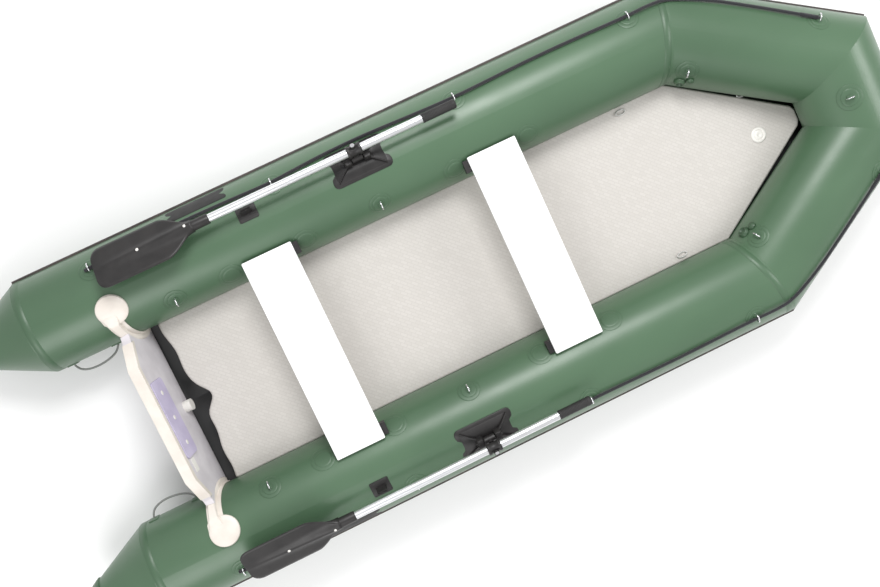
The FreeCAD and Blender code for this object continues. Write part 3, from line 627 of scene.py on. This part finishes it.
def transom_holder(label, side):
    """The moulded channel that carries the board's end, curving up the tube to a round disc on its crest."""
    name = f"{label}_transom_holder"
    parts = []
    inner = RADIUS + 0.0005
    steps = 30
    for wall, tall in ((BOARD_THICK + 0.012, 0.025), (BOARD_THICK + 0.030, 0.006)):
        rings = []
        for i in range(steps + 1):
            share = i / steps
            angle = -(HOLDER_TOP_ANGLE + (HOLDER_FOOT_ANGLE - HOLDER_TOP_ANGLE) * share)
            swell = 1.0 - 0.35 * math.sin(math.pi * min(1.0, share * 1.5)) * (1 if tall > 0.01 else 0.2)
            half = wall / 2 * swell * (1.15 if share < 0.12 else 1.0)
            turn = math.radians(angle)
            out = Vector((0, side * math.sin(turn), math.cos(turn)))
            z = RADIUS + (inner + tall) * math.cos(turn)
            x_mid = TRANSOM_X - BOARD_THICK / 2 - math.tan(RAKE) * (z - FOOT_Z)
            base = Vector((x_mid, side * AXIS_Y, RADIUS))
            top = tall if share > 0.10 else tall * (0.45 + 5.5 * share)
            ring = []
            for px, pr in ((-half, 0.0), (-half, top * 0.8), (-half * 0.8, top), (half * 0.8, top),
                           (half, top * 0.8), (half, 0.0)):
                ring.append(base + Vector((px, 0, 0)) + out * (inner + pr))
            rings.append(ring)
        parts.append(lofted(rings))
    turn = math.radians(HOLDER_DISC_ANGLE)
    out = Vector((0, side * math.sin(turn), math.cos(turn)))
    centre = Vector((TRANSOM_X - HOLDER_DISC_BACK, side * AXIS_Y, RADIUS)) + out * RADIUS
    profile = [(0.0, -0.012), (0.0565, -0.012), (0.0575, 0.002), (0.0560, 0.006), (0.050, 0.0088),
               (0.036, 0.0100), (0.012, 0.0108), (0.0, 0.0110)]
    parts.append(turned(profile, aim(centre, out), 48))
    piece = mesh_piece(f"{name}_moulding", *joined(parts), CREAM)
    rounded(piece, 0.002, 2, 40)
    keep(piece)
    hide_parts(name)


for label, side in SIDES.items():
    transom_holder(label, side)


# Oarlocks -------------------------------------------------------------------
LOCK_ANGLE = 16.7
LOCK_X = -0.202
PIN_TILT = 35
PIVOT_RISE = 0.031
PIN_REACH = 0.045
CLIP_X = -0.635


def over_tube(side, x, angle):
    """A frame on a side tube's surface: local X to the bow, local Z outward."""
    spot, out = on_tube("side", side, x, angle)
    return aim(spot, out)


for label, side in SIDES.items():
    place = over_tube(side, LOCK_X, LOCK_ANGLE)
    parts = [tube_patch("side", side, LOCK_X, LOCK_ANGLE, round_box(0.228, 0.134, 0.018), 0.004)]
    base_rings = []
    for length, width, height in ((0.196, 0.108, -0.006), (0.194, 0.106, 0.004), (0.150, 0.078, 0.010),
                                  (0.120, 0.056, 0.0115)):
        base_rings.append([place @ Vector((x, y, height - (y / RADIUS) ** 2 * RADIUS / 2))
                           for x, y in round_box(length, width, 0.014)])
    parts.append(lofted(base_rings))
    for end in (-1, 1):
        for flank in (-1, 1):
            rings = []
            for share in (0.0, 0.5, 1.0):
                x = end * (0.094 - 0.050 * share)
                y = flank * (0.050 - 0.036 * share)
                z = 0.004 + 0.024 * share ** 0.8
                foot, crest = z - 0.014, z
                corners = ((y - 0.005, foot), (y + 0.005, foot), (y + 0.0035, crest), (y - 0.0035, crest))
                rings.append([place @ Vector((x, across, up)) for across, up in corners])
            parts.append(lofted(rings))
        outline = round_box(0.027, 0.036, 0.006)
        block = place @ Matrix.Translation((end * 0.0360, 0, 0))
        parts.append(lofted([[block @ Vector((x, y, 0.004)) for x, y in outline],
                             [block @ Vector((x, y, 0.036)) for x, y in outline],
                             [block @ Vector((x * 0.85, y * 0.85, 0.0425)) for x, y in outline]]))
    piece = mesh_piece(f"{label}_oarlock_moulding", *joined(parts), BLACK)
    rounded(piece, 0.0016, 2, 40)
    keep(piece)
    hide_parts(f"{label}_oarlock_base")

    parts = [tube_patch("side", side, CLIP_X, LOCK_ANGLE, round_box(0.074, 0.062, 0.006), 0.0035)]
    clip = over_tube(side, CLIP_X, LOCK_ANGLE)
    rings = []
    for height, width in ((0.002, 0.016), (0.012, 0.012), (0.030, 0.010), (0.0355, 0.009)):
        rings.append([clip @ Vector((x, y, height)) for x, y in round_box(0.040, width, 0.004)])
    parts.append(lofted(rings))
    piece = mesh_piece(f"{label}_clip_moulding", *joined(parts), BLACK)
    rounded(piece, 0.0012, 2, 40)
    keep(piece)
    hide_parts(f"{label}_oar_clip")


# Oars -----------------------------------------------------------------------
OAR_OUT = 0.985
BLADE_LENGTH = 0.370


def oar_frame(side):
    """The oar's frame at rest: local X to the grip, local Z along its pin."""
    pivot = over_tube(side, LOCK_X, LOCK_ANGLE) @ Vector((0, 0, PIVOT_RISE))
    tilt = math.radians(PIN_TILT)
    pin = Vector((0, side * math.sin(tilt), math.cos(tilt)))
    return aim(pivot + pin * PIN_REACH, pin)


def blade_half_width(share):
    """Half the blade's width, from the socket (0) to the tip (1)."""
    neck, wide = 0.019, 0.086
    if share < 0.30:
        ease = share / 0.30
        return neck + (wide - neck) * (1 - math.cos(math.pi * ease)) / 2 * 0.55 + (wide - neck) * ease * 0.45
    if share > 0.90:
        ease = (share - 0.90) / 0.10
        return wide - 0.040 * (1 - math.sqrt(max(0.0, 1 - ease ** 2)))
    return wide


def blade_mesh(place):
    """A blade with a rolled rim and a central rib that tapers from its round socket."""
    rings = []
    rows, across = 44, 18
    for row in range(rows + 1):
        share = row / rows
        share = share if share < 0.9 else 0.9 + 0.1 * math.sin((share - 0.9) / 0.1 * math.pi / 2)
        x = -(OAR_OUT - BLADE_LENGTH) - BLADE_LENGTH * share
        half = blade_half_width(share)
        rib = 0.0195 * (1 - share) ** 0.8
        top, bottom = [], []
        for step in range(across + 1):
            y = half * (2 * step / across - 1)
            rib_shape = math.exp(-(y / (0.012 + 0.010 * (1 - share))) ** 2)
            rim = 0.0016 * math.exp(-((half - abs(y)) / 0.005) ** 2)
            thick = 0.0030 + rim + rib * rib_shape
            edge = min(1.0, math.sqrt(max(0.0, 1 - (abs(y) / half) ** 24)) + 0.12)
            top.append(place @ Vector((x, y, thick * edge)))
            bottom.append(place @ Vector((x, y, -thick * edge)))
        rings.append(top + bottom[::-1])
    return lofted(rings)


for label, side in SIDES.items():
    body = f"{label}_oar"
    place = oar_frame(side)
    blade = mesh_piece(f"{label}_blade_moulding", *blade_mesh(place), BLACK)
    keep(blade, body)
    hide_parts(f"{label}_oar_blade")

    along = place @ Matrix.Rotation(math.radians(90), 4, "Y")
    socket = [(0.0150, -0.675), (0.0185, -0.674), (0.0195, -0.66), (0.0195, -0.640), (0.0188, -0.560),
              (0.0178, -0.556), (0.0170, -0.5548), (0.0150, -0.5548)]
    piece = mesh_piece(f"{label}_blade_neck", *turned(socket, along, 40), BLACK)
    keep(piece, body)

    bolt_parts = []
    for x in (-0.640, -0.820):
        for face in (-1, 1):
            height = 0.019 if x > -0.7 else 0.011
            spot = place @ Matrix.Translation((x, 0, face * height)) @ (
                Matrix.Identity(4) if face > 0 else Matrix.Rotation(math.pi, 4, "X"))
            bolt_parts.append(turned([(0.0, -0.004), (0.0058, -0.004), (0.0058, 0.0018), (0.004, 0.0030),
                                      (0.0, 0.0034)], spot, 20))
    keep(mesh_piece(f"{label}_blade_bolts", *joined(bolt_parts), FITTING), body)

    grip_profile = [(0.0135, 0.262), (0.0168, 0.263), (0.0175, 0.268)]
    for ridge in range(20):
        x = 0.273 + ridge * 0.0053
        grip_profile += [(0.0175, x), (0.0164, x + 0.0012), (0.0164, x + 0.0026), (0.0175, x + 0.0038)]
    grip_profile += [(0.0175, 0.3835), (0.0172, 0.388), (0.0155, 0.392), (0.010, 0.3938), (0.0, 0.394)]
    grip = mesh_piece(f"{label}_grip_sleeve", *turned(grip_profile, along, 36), BLACK_SOFT)
    keep(grip, body)
    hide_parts(f"{label}_oar_grip")

    collar_profile = [(0.0151, -0.027), (0.0205, -0.027), (0.022, -0.0245), (0.022, -0.017),
                      (0.0196, -0.0145), (0.0196, 0.0145), (0.022, 0.017), (0.022, 0.0245), (0.0205, 0.027),
                      (0.0151, 0.027)]
    collar = mesh_piece(f"{label}_collar_sleeve", *turned(collar_profile, along, 40), BLACK)
    keep(collar, body)
    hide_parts(f"{label}_oar_collar")

    # The bare metal of the pin's nut and screw head over the swivel.
    head = [(0.0, 0.0228), (0.0098, 0.0228), (0.0100, 0.0235), (0.0100, 0.0298), (0.0090, 0.0310),
            (0.0, 0.0311)]
    hexed = mesh_piece(f"{label}_pin_nut", *turned(head, place, 6), STEEL, smooth=False)
    keep(hexed, f"{label}_oarlock")


# The grab line's route: (x, degrees outboard from the crest, height of its middle over the tube in mm).
SIDE_ROUTE = [
    (-1.232, 34.0, 12), (-1.130, 36.5, 9), (-1.000, 38.5, 8), (-0.870, 39.6, 8), (-0.740, 39.0, 8),
    (-0.620, 37.4, 9), (-0.514, 35.4, 12), (-0.410, 38.8, 9), (-0.280, 41.5, 8), (-0.150, 41.8, 8),
    (-0.020, 39.4, 8), (0.100, 37.2, 9), (0.206, 35.4, 12), (0.310, 36.8, 9), (0.430, 38.4, 8),
    (0.560, 39.2, 8), (0.690, 38.8, 8), (0.805, 37.4, 9), (0.908, 35.6, 13),
]
BOW_ROUTE = [(1.150, 41.5, 10), (1.240, 42.4, 9), (1.340, 41.8, 9), (1.430, 40.0, 10), (1.500, 38.0, 12)]
# The stern handles' route: (x, metres outboard from the side tube's inner face, z).
HANDLE_ROUTE = [
    (-1.454, -0.004, 0.168), (-1.449, -0.022, 0.166), (-1.428, -0.038, 0.163), (-1.396, -0.045, 0.160),
    (-1.358, -0.044, 0.160), (-1.320, -0.036, 0.163), (-1.292, -0.022, 0.166), (-1.280, -0.004, 0.170),
]


def rope(name, points, diameter, mat, node):
    """A rope along a smooth spline whose control points are the route's."""
    curve = bpy.data.curves.new(name, "CURVE")
    curve.dimensions = "3D"
    spline = curve.splines.new("NURBS")
    spline.points.add(len(points) - 1)
    for point, spot in zip(spline.points, points):
        point.co = (*spot, 1)
    spline.order_u = 3
    spline.use_endpoint_u = True
    spline.resolution_u = 8
    curve.bevel_depth = diameter / 2
    curve.bevel_resolution = 4
    curve.use_fill_caps = True
    piece = bpy.data.objects.new(name, curve)
    bpy.context.scene.collection.objects.link(piece)
    curve.materials.append(mat)
    keep(piece)
    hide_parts(node)
    return piece


def side_spot(side, x, angle, lift):
    return on_tube("side", side, x, angle, lift / 1000)[0]


for label, side in SIDES.items():
    route = [side_spot(side, *row) for row in SIDE_ROUTE]
    route.append(side_spot(side, 1.000, 36.4, 14))
    route.append(side_spot(side, 1.070, 37.0, 12) + Vector((0, -side * 0.008, 0.002)))
    route += [on_tube("bow", side, x, angle, lift / 1000)[0] for x, angle, lift in BOW_ROUTE]
    line = rope(f"{label}_grab_rope", route, 0.012, ROPE, f"{label}_grab_line")
    inner = AXIS_Y - RADIUS
    loop = [Vector((x, side * (inner + y), z)) for x, y, z in HANDLE_ROUTE]
    handle = rope(f"{label}_handle_rope", loop, 0.008, ROPE_GREY, f"{label}_stern_handle")

# Rope end splices and the handles' tabs.
# A splice is (tube, its start, its end), each end as (x, angle, rise).
SPLICES = (("side", (-1.225, 34.2, 0.0112), (-1.165, 35.7, 0.0105)),
           ("bow", (1.44, 39.8, 0.0102), (1.495, 38.1, 0.0118)))
tab_parts = []
splice_parts = []
for side in SIDES.values():
    for x, _, _ in (HANDLE_ROUTE[0], HANDLE_ROUTE[-1]):
        tab_parts.append(tube_patch("side", side, x, -90, round_box(0.040, 0.052, 0.008), 0.003))
    for kind, start, end in SPLICES:
        first = on_tube(kind, side, *start)[0]
        second = on_tube(kind, side, *end)[0]
        length = (second - first).length
        profile = [(0.0062, 0.0)]
        for ridge in range(9):
            at = length * (ridge + 0.5) / 9
            profile += [(0.0076, at - length / 40), (0.0076, at + length / 40), (0.0066, at + length / 18)]
        splice_parts.append(turned(profile, aim(first, second - first), 20))
keep(mesh_piece("handle_tabs", *joined(tab_parts), GREEN_TAPE))
keep(mesh_piece("rope_splices", *joined(splice_parts), ROPE))


# Stage ----------------------------------------------------------------------
def soft_light(name, place, target, size, power):
    data = bpy.data.lights.new(name, "AREA")
    data.shape = "DISK"
    data.size = size
    data.energy = power
    lamp = bpy.data.objects.new(name, data)
    lamp.location = place
    lamp.rotation_euler = (Vector(target) - Vector(place)).to_track_quat("-Z", "Y").to_euler()
    bpy.context.scene.collection.objects.link(lamp)


floor_mat, _, floor_bsdf = shader("studio_floor", 0.9)
floor_bsdf.inputs["Base Color"].default_value = (0.9, 0.9, 0.9, 1)
ground = mesh_piece("studio_floor", [(-30, -30, 0), (30, -30, 0), (30, 30, 0), (-30, 30, 0)], [[0, 1, 2, 3]],
                    floor_mat)

world = bpy.data.worlds.new("studio")
world.use_nodes = True
world.node_tree.nodes["Background"].inputs["Color"].default_value = (1, 1, 1, 1)
world.node_tree.nodes["Background"].inputs["Strength"].default_value = 0.75
bpy.context.scene.world = world
soft_light("key", (0.8, 3.2, 4.6), (0, 0, 0.2), 2.2, 190)
soft_light("fill", (-2.5, -3.0, 3.6), (0, 0, 0.2), 3.0, 90)
soft_light("bow_light", (4.2, -0.5, 3.0), (0.8, 0, 0.2), 1.6, 60)
bpy.context.scene.view_settings.view_transform = "Standard"

# The camera looks down on the boat from just aft of its middle, turned so that the bow points up and right.
LENS_MM = 43.8709
eye = Vector((-0.3925, 0.464, 4.196))
turn = (Matrix.Rotation(-0.448, 4, "Z") @ Matrix.Rotation(-0.081, 4, "X") @ Matrix.Rotation(-0.1115, 4, "Y"))
camera_data = bpy.data.cameras.new("camera")
camera_data.sensor_width = 36
camera_data.lens = LENS_MM
camera = bpy.data.objects.new("camera", camera_data)
camera.matrix_world = Matrix.Translation(eye) @ turn
bpy.context.scene.collection.objects.link(camera)
bpy.context.scene.camera = camera
